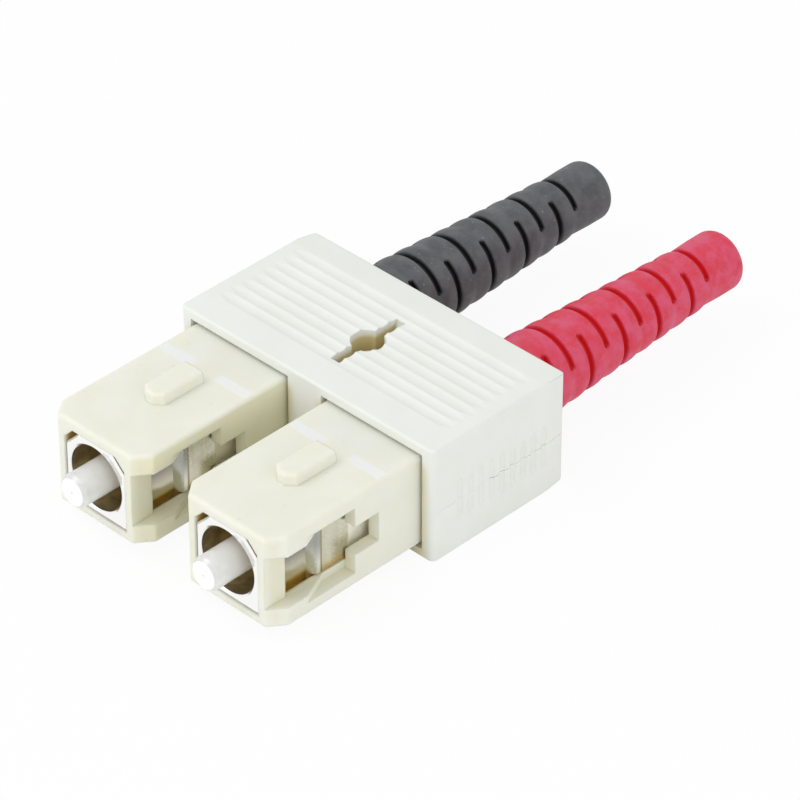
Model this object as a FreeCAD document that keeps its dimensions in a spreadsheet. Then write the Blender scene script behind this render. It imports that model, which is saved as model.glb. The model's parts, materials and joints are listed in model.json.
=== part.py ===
import FreeCAD, Part
import math
import os

import Sketcher

# Duplex SC fibre connector: two push-pull plugs in a two-part clip.
# Millimetres. The origin is the centre of the clip's bottom face.
# +X runs across the two plugs, +Y back to the boots, +Z up to the keys.
# A plug is drawn in its own frame: y = 0 at the front of its outer housing,
# and x = z = 0 on its axis.

# Named sizes
SIZES = [
    ("pitch", 12.7, "distance between the two plug axes"),
    ("clip_depth", 12.95, "clip along the plugs"),
    ("clip_side", 1.04, "side walls of the clip"),
    ("clip_roof", 0.735, "top and bottom walls of the clip"),
    ("clip_front", 13.5, "front of the housings to front of the clip"),
    ("clip_rear_wall", 1.45, "wall that holds the boots"),
    ("clip_slack", 0.25, "room between a housing and its cavity"),
    ("split_drop", 0.55, "parting plane below the plug axes"),
    ("split_gap", 0.01, "clip halves at the front"),
    ("split_relief", 0.04, "further opening between the halves towards the rear"),
    ("split_relief_start", 5.5, "front of the clip to that opening"),
    ("corner_front", 0.5, "front upright corners of the clip"),
    ("corner_rear", 0.3, "rear upright corners of the clip"),
    ("edge_top", 0.2, "rounding round the top of the clip"),
    ("edge_bottom", 0.25, "rounding round the bottom of the clip"),
    ("bevel_length", 2.25, "sloping margin behind the top ribs"),
    ("bevel_drop", 0.3, "fall of that margin"),
    ("taper_length", 1.65, "rear of the clip's sides, drawn in"),
    ("taper_drop", 0.2, "how far each side is drawn in"),
    ("rib_first", 2.98, "front of the clip to the first top groove"),
    ("rib_pitch", 1.02, "distance between top grooves"),
    ("rib_cutter", 1.0, "radius of a top groove"),
    ("rib_depth", 0.125, "depth of a top groove"),
    ("rib_length", 20.4, "full-depth length of a top groove"),
    ("rib_fade", 8.0, "slanted end of the cutter on each side"),
    ("serration_first", 2.63, "front of the clip to the first side groove"),
    ("serration_pitch", 1.02, "distance between side grooves"),
    ("serration_cutter", 0.3, "radius of a side groove"),
    ("serration_depth", 0.13, "depth of a side groove"),
    ("serration_height", 2.6, "full-depth height of a side groove"),
    ("serration_fade", 1.4, "slanted end of the cutter above and below"),
    ("slot_width", 0.82, "latch slot in the top of the clip"),
    ("slot_length", 6.36, "latch slot in the top of the clip"),
    ("slot_depth", 2.4, "depth of the latch slot"),
    ("slot_lip", 0.35, "depth of the slot at its ends"),
    ("slot_ramp", 1.0, "sloping run at each end of the slot"),
    ("latch_place", 6.12, "front of the clip to the middle of the latch"),
    ("latch_hole", 2.45, "diameter of the latch socket"),
    ("latch_stem", 2.1, "diameter of the latch post"),
    ("latch_head", 2.35, "diameter of the latch post's head"),
    ("latch_sunk", 1.5, "head below the top of the clip"),
    ("dowel", 1.2, "diameter of a locating peg"),
    ("dowel_height", 1.2, "height of a locating peg"),
    ("dowel_place", 4.7, "peg from the middle of the clip"),
    ("fit_slack", 0.05, "slack where one piece sits in another"),
    ("housing_width", 9.0, "outer housing"),
    ("housing_height", 7.4, "outer housing"),
    ("housing_clear", 0.4, "housing to the boot's flange when the plug is forward"),
    ("housing_edge", 0.3, "rounding of the housing's edges"),
    ("front_flat", 7.1, "width of the housing's front face"),
    ("front_taper", 1.28, "length of the tapered front corners"),
    ("mouth", 5.9, "square front opening"),
    ("mouth_corner", 0.85, "cut across the two upper corners"),
    ("floor_width", 7.06, "across the floors of the two side recesses"),
    ("lip_gap", 4.2, "height of a side recess at the front"),
    ("track_height", 4.1, "height of the inner side tracks and windows"),
    ("track_relief", 0.02, "tracks beyond the recess floors"),
    ("room_wall", 0.3, "thin wall round a side window"),
    ("room_height", 5.5, "height of the room behind that wall"),
    ("post_length", 1.94, "post in front of a side window"),
    ("ear_height", 5.4, "height of a side recess at its ears"),
    ("ear_start", 3.0, "start of the ears' ramps"),
    ("ear_floor", 5.3, "end of the ears' ramps"),
    ("ear_end", 7.45, "rear end of the ears"),
    ("tail_height", 2.34, "height of the narrow end of a side recess"),
    ("tail_end", 9.67, "rear end of a side recess"),
    ("key_width", 2.0, "key on top of the housing"),
    ("key_height", 0.9, "key on top of the housing"),
    ("key_front", 5.1, "front end of the key"),
    ("key_rear", 9.25, "rear end of the key"),
    ("key_nose", 0.7, "width of the key's front end"),
    ("key_taper", 0.55, "length of the key's pointed front"),
    ("key_edge", 0.28, "rounding along the top of the key"),
    ("notch_start", 17.5, "notch that locks a housing in the clip"),
    ("notch_length", 2.0, "notch that locks a housing in the clip"),
    ("notch_width", 6.2, "notch that locks a housing in the clip"),
    ("notch_depth", 0.5, "notch that locks a housing in the clip"),
    ("slide_slack", 0.1, "room round the plug frame in its housing"),
    ("stroke", 1.9, "travel of the plug frame in its housing"),
    ("frame_length", 16.0, "plug frame"),
    ("frame_edge", 0.15, "small lead-in edges of the plug frame"),
    ("frame_corner", 1.2, "cut across the plug frame's upper corners"),
    ("bore", 5.0, "front bore of the plug frame"),
    ("bore_depth", 6.2, "front bore of the plug frame"),
    ("seat_hole", 3.1, "hole that the ferrule passes"),
    ("seat_length", 0.8, "wall between the two bores"),
    ("spring_bore", 4.5, "rear bore of the plug frame"),
    ("land_rise", 0.6, "side land above the plug frame's side"),
    ("land_start", 4.45, "foot of the land's ramp"),
    ("land_ramp", 0.5, "length of the land's ramp"),
    ("land_end", 7.88, "rear end of the land"),
    ("rail_rise", 0.25, "rail under and behind the land, above the plug frame's side"),
    ("collar_start", 13.0, "collar that stops the plug frame"),
    ("collar_step", 0.5, "collar above the plug frame's sides"),
    ("ferrule_diameter", 2.5, "ceramic ferrule"),
    ("ferrule_length", 10.5, "ceramic ferrule"),
    ("ferrule_reach", 2.11, "ferrule in front of the housing"),
    ("tip_flat", 2.05, "diameter of the ferrule's end face"),
    ("tip_taper", 0.35, "length of the ferrule's chamfer"),
    ("flange_gap", 0.2, "flange to the wall that stops it"),
    ("flange_diameter", 4.3, "ferrule flange"),
    ("flange_length", 1.4, "ferrule flange"),
    ("hub_diameter", 3.0, "hub behind the flange"),
    ("hub_length", 2.2, "hub behind the flange"),
    ("tube_diameter", 1.1, "fibre tube"),
    ("tube_bore", 0.6, "fibre tube"),
    ("tube_length", 7.0, "fibre tube"),
    ("wire", 0.42, "spring wire"),
    ("coil", 3.7, "mean diameter of the spring"),
    ("stop_front", 13.5, "front of the stop body"),
    ("stop_collar", 5.6, "diameter of the stop body's collar"),
    ("stop_collar_length", 1.4, "stop body's collar"),
    ("barrel", 3.6, "diameter of the crimp barrel"),
    ("barrel_length", 5.2, "crimp barrel"),
    ("barrel_bore", 1.9, "hole through the stop body"),
    ("sleeve_outer", 4.6, "crimp sleeve over the barrel"),
    ("sleeve_neck", 3.7, "outer diameter of the sleeve's neck"),
    ("sleeve_neck_bore", 2.8, "hole through the sleeve's neck"),
    ("sleeve_neck_length", 4.4, "sleeve's neck"),
    ("boot_bore", 3.2, "hole for the cord"),
    ("boot_skirt", 5.6, "outer diameter over the crimp sleeve"),
    ("boot_skirt_length", 3.8, "skirt in front of the flange"),
    ("boot_head", 7.7, "flange held behind the clip's rear wall"),
    ("boot_head_length", 1.05, "flange held behind the clip's rear wall"),
    ("boot_head_gap", 0.13, "flange to the clip's rear wall"),
    ("boot_hole", 7.2, "hole in the clip's rear wall"),
    ("boot_first", 2.18, "clip to the first pair of slots"),
    ("boot_pitch", 1.84, "distance between slots"),
    ("side_slot_lean", 3.0, "degrees that the side slots are turned to the left"),
    ("top_slot_lean", -11.0, "degrees that the top slots are turned to the left"),
    ("boot_front_radius", 3.07, "radius in the first waist"),
    ("boot_rear_radius", 2.233, "radius in the last waist"),
    ("boot_bulge", 0.13, "crest of a ring above its waists"),
    ("boot_slot", 0.5, "width of a slot"),
    ("boot_bridge", 2.8, "width of the bridges between the slots"),
    ("boot_length", 22.7, "boot behind the clip"),
    ("boot_end_radius", 2.3, "radius at the rear end"),
    ("boot_end_round", 0.65, "rounding of the rear end"),
]
RIB_COUNT = 8
SERRATION_COUNT = 9
BOOT_SLOTS = 10
SPRING_TURNS = 4
SIDES = (("left", -1), ("right", 1))

doc = FreeCAD.newDocument("duplex_connector")
sheet = doc.addObject("Spreadsheet::Sheet", "dims")
for row, (alias, number, note) in enumerate(SIZES, 1):
    sheet.set(f"A{row}", alias)
    sheet.set(f"B{row}", str(number))
    sheet.set(f"C{row}", note)
    sheet.setAlias(f"B{row}", alias)
doc.recompute()


class Size:
    """A number together with the sheet expression that drives it."""

    def __init__(self, text, value):
        self.text = text
        self.value = value

    def join(self, other, sign, value, turned=False):
        first, second = (other, self) if turned else (self, other)
        return Size(f"({first.text} {sign} {second.text})", value)

    def __add__(self, other):
        other = as_size(other)
        return self.join(other, "+", self.value + other.value)

    def __sub__(self, other):
        other = as_size(other)
        return self.join(other, "-", self.value - other.value)

    def __rsub__(self, other):
        other = as_size(other)
        return self.join(other, "-", other.value - self.value, True)

    def __mul__(self, other):
        other = as_size(other)
        return self.join(other, "*", self.value * other.value)

    def __truediv__(self, other):
        other = as_size(other)
        return self.join(other, "/", self.value / other.value)

    def __neg__(self):
        return Size(f"(0 - {self.text})", -self.value)

    __radd__ = __add__
    __rmul__ = __mul__


def as_size(item):
    return item if isinstance(item, Size) else Size(str(item), item)


class Named:
    """Every size of the sheet as an attribute."""


d = Named()
for alias, number, note in SIZES:
    setattr(d, alias, Size(f"dims.{alias}", float(sheet.get(alias))))


# Drawing helpers
def new_body(label):
    body = doc.addObject("PartDesign::Body", label)
    body.Label = label
    return body


def origin_item(body, role):
    return next(item for item in body.Origin.OriginFeatures if item.Role == role)


def drive(item, prop, size):
    size = as_size(size)
    item.setExpression(prop, size.text)


def sketch_on(body, name, role, offset=0):
    """Sketch on an origin plane, moved along that plane's normal."""
    sketch = body.newObject("Sketcher::SketchObject", f"{body.Label}_{name}")
    sketch.AttachmentSupport = (origin_item(body, role), [""])
    sketch.MapMode = "FlatFace"
    drive(sketch, "AttachmentOffset.Base.z", offset)
    return sketch


def across(body, name, y=0):
    """Sketch square to the plug axis at y, with x across and y up."""
    return sketch_on(body, name, "XZ_Plane", -as_size(y))


def pin(sketch, geometry, end, x, y):
    """Hold one end of a curve at a driven place."""
    for kind, axis, size in (("DistanceX", -2, as_size(x)), ("DistanceY", -1, as_size(y))):
        if abs(size.value) < 1e-9:
            sketch.addConstraint(Sketcher.Constraint("PointOnObject", geometry, end, axis))
        else:
            rule = Sketcher.Constraint(kind, -1, 1, geometry, end, size.value)
            index = sketch.addConstraint(rule)
            drive(sketch, f"Constraints[{index}]", size)


def spot(x, y):
    return FreeCAD.Vector(as_size(x).value, as_size(y).value, 0)


def outline(sketch, points, arcs=None):
    """Closed outline through driven points. arcs maps a start index to a bulging radius."""
    arcs = arcs or {}
    first = sketch.GeometryCount
    count = len(points)
    starts, ends = [], []
    for k in range(count):
        a, b = spot(*points[k]), spot(*points[(k + 1) % count])
        if k in arcs:
            radius = as_size(arcs[k]).value
            chord = b - a
            half = chord.Length / 2
            outward = FreeCAD.Vector(chord.y, -chord.x, 0).normalize()
            rise = radius - (radius ** 2 - half ** 2) ** 0.5
            curve = Part.ArcOfCircle(a, (a + b) / 2 + outward * rise, b)
            begins_at_a = curve.StartPoint.distanceToPoint(a) < 1e-6
            starts.append(1 if begins_at_a else 2)
            ends.append(2 if begins_at_a else 1)
        else:
            curve = Part.LineSegment(a, b)
            starts.append(1)
            ends.append(2)
        sketch.addGeometry(curve, False)
    for k in range(count):
        nxt = (k + 1) % count
        joint = Sketcher.Constraint("Coincident", first + k, ends[k], first + nxt, starts[nxt])
        sketch.addConstraint(joint)
    for k in range(count):
        pin(sketch, first + k, starts[k], *points[k])
    for k, radius in arcs.items():
        index = sketch.addConstraint(
            Sketcher.Constraint("Radius", first + k, as_size(radius).value))
        drive(sketch, f"Constraints[{index}]", radius)


def box_outline(sketch, x0, x1, y0, y1):
    outline(sketch, [(x0, y0), (x1, y0), (x1, y1), (x0, y1)])


def circle(sketch, x, y, radius):
    radius = as_size(radius)
    index = sketch.addGeometry(
        Part.Circle(spot(x, y), FreeCAD.Vector(0, 0, 1), radius.value), False)
    pin(sketch, index, 3, x, y)
    rule = sketch.addConstraint(Sketcher.Constraint("Radius", index, radius.value))
    drive(sketch, f"Constraints[{rule}]", radius)


def feature(body, kind, name, sketch):
    item = body.newObject(f"PartDesign::{kind}", f"{body.Label}_{name}")
    item.Profile = sketch
    sketch.Visibility = False
    return item


def extrude(body, kind, name, sketch, length=None, flip=False, both=False):
    """Pad or Pocket. Without a length a pocket goes through all."""
    item = feature(body, kind, name, sketch)
    if length is None:
        item.Type = "ThroughAll"
    else:
        drive(item, "Length", length)
    item.SideType = "Symmetric" if both else "One side"
    item.Reversed = flip
    doc.recompute()
    return item


def turn(body, kind, name, sketch, axis, angle=360.0, both=False):
    """Revolution or Groove about an axis of the sketch."""
    item = feature(body, kind, name, sketch)
    item.ReferenceAxis = (sketch, [axis])
    drive(item, "Angle", angle)
    item.Midplane = both
    doc.recompute()
    return item


def repeat(body, kind, name, original):
    item = body.newObject(f"PartDesign::{kind}", f"{body.Label}_{name}")
    item.Originals = original if isinstance(original, list) else [original]
    body.Tip = item
    return item


def row_of(body, name, original, count, pitch):
    item = repeat(body, "LinearPattern", name, original)
    item.Direction = (origin_item(body, "Y_Axis"), [""])
    item.Mode = "Spacing"
    item.Occurrences = count
    drive(item, "Offset", pitch)
    doc.recompute()
    return item


def mirror(body, name, originals):
    item = repeat(body, "Mirrored", name, originals)
    item.MirrorPlane = (origin_item(body, "YZ_Plane"), [""])
    doc.recompute()
    return item


def soften(body, kind, name, wanted, size, prop):
    """Fillet or Chamfer on the edges of the tip that a test picks."""
    tip = body.Tip
    edges = [f"Edge{i}" for i, edge in enumerate(tip.Shape.Edges, 1) if wanted(edge)]
    item = body.newObject(f"PartDesign::{kind}", f"{body.Label}_{name}")
    item.Base = (tip, edges)
    drive(item, prop, size)
    doc.recompute()
    return item


def upright(edge):
    box = edge.BoundBox
    return box.XLength < 1e-6 and box.YLength < 1e-6


def turned_part(label, points, arcs=None):
    """Solid turned about the plug axis from (radius, y) points."""
    body = new_body(label)
    sketch = sketch_on(body, "profile", "XY_Plane")
    outline(sketch, points, arcs)
    turn(body, "Revolution", "turned", sketch, "V_Axis")
    return body


def place_plug_part(body, side):
    drive(body, "Placement.Base.x", d.pitch * side / 2)
    drive(body, "Placement.Base.y", -(d.clip_front + d.clip_depth / 2))
    drive(body, "Placement.Base.z", clip_height / 2)


# Sizes that follow from the named ones
room_side = d.housing_width / 2 + d.clip_slack
room_top = d.housing_height / 2 + d.clip_slack
clip_width = d.pitch + (room_side + d.clip_side) * 2
clip_height = (room_top + d.clip_roof) * 2
frame_width = d.mouth - d.slide_slack * 2
track_width = d.floor_width + d.track_relief * 2
collar_width = frame_width + d.collar_step * 2
rear_bore_start = d.collar_start - d.stroke
rear_bore = collar_width + d.slide_slack * 2
seat_end = d.bore_depth + d.seat_length
flange_front = seat_end + d.flange_gap
flange_rear = flange_front + d.flange_length
hub_rear = flange_rear + d.hub_length
ferrule_rear = d.ferrule_length - d.ferrule_reach
stop_collar_end = d.frame_length + d.stop_collar_length
barrel_end = stop_collar_end + d.barrel_length
sleeve_front = stop_collar_end + d.fit_slack
neck_start = barrel_end + d.fit_slack
neck_end = neck_start + d.sleeve_neck_length
neck_seat = neck_end + d.fit_slack
clip_rear = d.clip_front + d.clip_depth
head_rear = clip_rear - d.clip_rear_wall - d.boot_head_gap
head_front = head_rear - d.boot_head_length
housing_rear = head_front - d.stroke - d.housing_clear
skirt_front = head_front - d.boot_skirt_length
boot_first = clip_rear + d.boot_first
boot_end = clip_rear + d.boot_length
split_height = clip_height / 2 - d.split_drop


# Outer housing
def outer_housing(label):
    body = new_body(label)
    half = d.housing_width / 2
    top = d.housing_height / 2
    plan = sketch_on(body, "plan", "XY_Plane")
    outline(plan, [
        (-d.front_flat / 2, 0), (d.front_flat / 2, 0), (half, d.front_taper),
        (half, housing_rear), (-half, housing_rear), (-half, d.front_taper)])
    extrude(body, "Pad", "block", plan, d.housing_height, both=True)

    def outer_edge(edge):
        return edge.BoundBox.YMin < housing_rear.value - 0.1
    soften(body, "Fillet", "outer_edges", outer_edge, d.housing_edge, "Radius")

    # Opening for the plug frame, wider behind the collar's stop
    mouth = across(body, "mouth")
    wide = d.mouth / 2
    cut = wide - d.mouth_corner
    outline(mouth, [
        (-wide, -wide), (wide, -wide), (wide, cut), (cut, wide), (-cut, wide), (-wide, cut)])
    extrude(body, "Pocket", "mouth_cut", mouth)
    rear = across(body, "rear_bore", rear_bore_start)
    box_outline(rear, -rear_bore / 2, rear_bore / 2, -rear_bore / 2, rear_bore / 2)
    extrude(body, "Pocket", "rear_bore_cut", rear)
    room = across(body, "room", d.post_length)
    room_half = d.floor_width / 2 - d.room_wall
    box_outline(room, -room_half, room_half, -d.room_height / 2, d.room_height / 2)
    extrude(body, "Pocket", "room_cut", room)
    track = across(body, "track", d.post_length)
    box_outline(track, -track_width / 2, track_width / 2, -d.track_height / 2, d.track_height / 2)
    extrude(body, "Pocket", "track_cut", track)

    # Side recess: open to the front, ears with a ramp, narrow tail
    outside = half + 0.5
    recess = sketch_on(body, "recess", "YZ_Plane", outside)
    lip, tail = d.lip_gap / 2, d.tail_height / 2
    outline(recess, [
        (-0.5, -lip), (d.ear_end, -lip), (d.ear_end, -tail), (d.tail_end, -tail),
        (d.tail_end, tail), (d.ear_end, tail), (d.ear_end, lip), (-0.5, lip)])
    recess_cut = extrude(body, "Pocket", "recess_cut", recess, outside - d.floor_width / 2)
    ears = sketch_on(body, "ears", "XY_Plane")
    outline(ears, [
        (half, d.ear_start), (d.floor_width / 2, d.ear_floor), (d.floor_width / 2, d.ear_end),
        (outside, d.ear_end), (outside, d.ear_start)])
    ears_cut = extrude(body, "Pocket", "ears_cut", ears, d.ear_height, both=True)
    mirror(body, "other_side", [recess_cut, ears_cut])

    # Notches above and below that lock the housing in the clip
    notch = sketch_on(body, "notch", "YZ_Plane")
    notch_end = d.notch_start + d.notch_length
    box_outline(notch, d.notch_start, notch_end, top - d.notch_depth, top + 0.5)
    box_outline(notch, d.notch_start, notch_end, -top - 0.5, -top + d.notch_depth)
    extrude(body, "Pocket", "notch_cut", notch, d.notch_width, both=True)

    # Key with a pointed front
    root = 0.2
    key = sketch_on(body, "key", "XY_Plane", top - root)
    side = d.key_width / 2
    shoulder = d.key_front + d.key_taper
    outline(key, [
        (-d.key_nose / 2, d.key_front), (d.key_nose / 2, d.key_front), (side, shoulder),
        (side, d.key_rear), (-side, d.key_rear), (-side, shoulder)])
    extrude(body, "Pad", "key_block", key, d.key_height + root)
    key_top = (top + d.key_height).value

    def key_edge(edge):
        box = edge.BoundBox
        return box.ZMin > key_top - 1e-4 and box.YMax < d.key_rear.value - 1e-4 or (
            box.ZMin > key_top - 1e-4 and box.YLength > 0.1)
    soften(body, "Fillet", "key_edges", key_edge, d.key_edge, "Radius")
    return body


# Metal plug frame
def plug_frame(label):
    body = new_body(label)
    wide = frame_width / 2
    cut = wide - d.frame_corner
    front = across(body, "front")
    outline(front, [
        (-wide, -wide), (wide, -wide), (wide, cut), (cut, wide), (-cut, wide), (-wide, cut)])
    extrude(body, "Pad", "block", front, d.frame_length, flip=True)

    def front_edge(edge):
        return edge.BoundBox.YMax < 1e-6
    soften(body, "Chamfer", "front_edges", front_edge, d.frame_edge, "Size")

    collar = across(body, "collar", d.collar_start)
    box_outline(collar, -collar_width / 2, collar_width / 2, -collar_width / 2, collar_width / 2)
    extrude(body, "Pad", "collar_block", collar, d.frame_length - d.collar_start, flip=True)

    # Lands that the coupling's hooks snap behind, each on a lower and taller rail
    root = wide - 0.2
    sides = []
    for name, rise, end, height in (
            ("rail", d.rail_rise, d.collar_start, d.room_height),
            ("land", d.land_rise, d.land_end, d.track_height)):
        plan = sketch_on(body, name, "XY_Plane")
        crest = d.land_start + d.land_ramp * rise / d.land_rise
        outline(plan, [
            (root, d.land_start), (wide, d.land_start), (wide + rise, crest), (wide + rise, end),
            (root, end)])
        sides.append(
            extrude(body, "Pad", f"{name}_block", plan, height - d.slide_slack * 2, both=True))
    mirror(body, "other_side", sides)

    bore = sketch_on(body, "bore", "XY_Plane")
    outline(bore, [
        (0, -0.5), (d.bore / 2 + d.frame_edge, -0.5), (d.bore / 2 + d.frame_edge, 0),
        (d.bore / 2, d.frame_edge), (d.bore / 2, d.bore_depth), (d.seat_hole / 2, d.bore_depth),
        (d.seat_hole / 2, seat_end), (d.spring_bore / 2, seat_end),
        (d.spring_bore / 2, d.frame_length + 0.5), (0, d.frame_length + 0.5)])
    turn(body, "Groove", "bore_cut", bore, "V_Axis")
    return body


# Ceramic ferrule, its flange and the fibre tube
def ferrule(label):
    radius = d.ferrule_diameter / 2
    tip = -d.ferrule_reach
    return turned_part(label, [
        (0, tip), (d.tip_flat / 2, tip), (radius, tip + d.tip_taper), (radius, ferrule_rear),
        (0, ferrule_rear)])


def ferrule_flange(label):
    hold = d.ferrule_diameter / 2
    tube = d.tube_diameter / 2
    collar = d.flange_diameter / 2
    return turned_part(label, [
        (hold, flange_front), (collar - d.frame_edge, flange_front),
        (collar, flange_front + d.frame_edge), (collar, flange_rear),
        (d.hub_diameter / 2, flange_rear), (d.hub_diameter / 2, hub_rear), (tube, hub_rear),
        (tube, ferrule_rear), (hold, ferrule_rear)])


def fibre_tube(label):
    outer, inner = d.tube_diameter / 2, d.tube_bore / 2
    rear = ferrule_rear + d.tube_length
    return turned_part(label, [
        (inner, ferrule_rear), (outer, ferrule_rear), (outer, rear), (inner, rear)])


# Spring between the flange and the stop body: tilted half rings, each tangent to the next,
# with a six-sided wire to keep it light
def spring(label):
    front = (flange_rear + d.wire / 2 + d.fit_slack).value
    rear = (d.stop_front - d.wire / 2 - d.fit_slack).value
    rise = (rear - front) / (SPRING_TURNS * 2)
    coil = d.coil.value / 2
    tilt = math.degrees(math.atan2(rise / 2, coil))
    radius = math.hypot(coil, rise / 2)
    centre = FreeCAD.Vector()
    axis, square = FreeCAD.Vector(0, 1, 0), FreeCAD.Vector(0, 0, 1)
    corners = []
    for k in range(7):
        angle = math.radians(60 * k)
        reach = d.wire.value / 2
        corners.append(FreeCAD.Vector(
            radius + reach * math.cos(angle), reach * math.sin(angle), 0))
    section = Part.Face(Part.makePolygon(corners))
    rings = []
    for k in range(SPRING_TURNS * 2):
        way = -1 if k % 2 else 1
        ring = section.revolve(centre, axis, 180 * way)
        ring.rotate(centre, square, -tilt * way)
        ring.translate(FreeCAD.Vector(0, front + rise * (k + 0.5), 0))
        rings.append(ring)
    piece = doc.addObject("Part::Feature", label)
    piece.Label = label
    piece.Shape = rings[0].multiFuse(rings[1:]).Solids[0]
    return piece


# Stop body with its crimp barrel
def stop_body(label):
    hole = d.barrel_bore / 2
    spigot = d.spring_bore / 2 - d.fit_slack / 2
    return turned_part(label, [
        (hole, d.stop_front), (spigot, d.stop_front), (spigot, d.frame_length),
        (d.stop_collar / 2, d.frame_length), (d.stop_collar / 2, stop_collar_end),
        (d.barrel / 2, stop_collar_end), (d.barrel / 2, barrel_end), (hole, barrel_end)])


# Stepped crimp sleeve
def crimp_sleeve(label):
    inner = d.barrel / 2 + d.fit_slack / 2
    outer = d.sleeve_outer / 2
    neck, hole = d.sleeve_neck / 2, d.sleeve_neck_bore / 2
    slope = outer - neck
    return turned_part(label, [
        (inner, sleeve_front), (outer, sleeve_front), (outer, neck_start), (neck, neck_start + slope),
        (neck, neck_end), (hole, neck_end), (hole, neck_start), (inner, neck_start)])


# Strain-relief boot
def boot(label):
    steps = BOOT_SLOTS - 1
    taper = (d.boot_front_radius - d.boot_rear_radius) / steps
    bore = d.boot_bore / 2
    grip = d.sleeve_outer / 2 + d.fit_slack
    skirt, head = d.boot_skirt / 2, d.boot_head / 2
    lead_in = 1

    def waist(k):
        return (d.boot_front_radius - taper * k, boot_first + d.boot_pitch * k)
    points = [
        (grip, skirt_front), (skirt, skirt_front), (skirt, head_front),
        (head, head_front), (head, head_rear), (waist(-lead_in)[0], head_rear)]
    arcs = {}
    for k in range(-lead_in, steps):
        radius, y = waist(k)
        points.append((radius, y))
        points.append((radius - taper / 2 + d.boot_bulge, y + d.boot_pitch / 2))
    points.append(waist(steps))
    last = waist(steps)[1] + d.boot_pitch / 2
    points.append((d.boot_end_radius, last))
    arcs[len(points)] = d.boot_end_round
    points.append((d.boot_end_radius, boot_end - d.boot_end_round))
    neck = d.sleeve_neck / 2 + d.fit_slack
    shoulder = neck_start + d.fit_slack
    points += [
        (d.boot_end_radius - d.boot_end_round, boot_end), (bore, boot_end), (bore, neck_seat),
        (neck, neck_seat), (neck, shoulder + grip - neck), (grip, shoulder)]
    body = turned_part(label, points, arcs)

    # Slots cut straight in from both sides, turned a quarter from one station to the next
    half_slot, half_bridge = d.boot_slot / 2, d.boot_bridge / 2
    outside = d.boot_front_radius + 1.0
    leans = (
        (0, "side", "XY_Plane", FreeCAD.Vector(0, -1, 0), d.side_slot_lean),
        (1, "top", "YZ_Plane", FreeCAD.Vector(-1, 0, 0), d.top_slot_lean))
    for start, name, plane, pivot, lean in leans:
        slots = sketch_on(body, f"{name}_slots", plane)
        slots.AttachmentOffset.Rotation = FreeCAD.Rotation(pivot, lean.value)
        drive(slots, "AttachmentOffset.Rotation.Angle", lean)
        for k in range(start, BOOT_SLOTS, 2):
            y = boot_first + d.boot_pitch * k
            for near, far in ((half_bridge, outside), (-outside, -half_bridge)):
                if start:
                    box_outline(slots, y - half_slot, y + half_slot, near, far)
                else:
                    box_outline(slots, near, far, y - half_slot, y + half_slot)
        extrude(body, "Pocket", f"{name}_slot_cut", slots, outside * 2, both=True)
    return body


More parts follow.
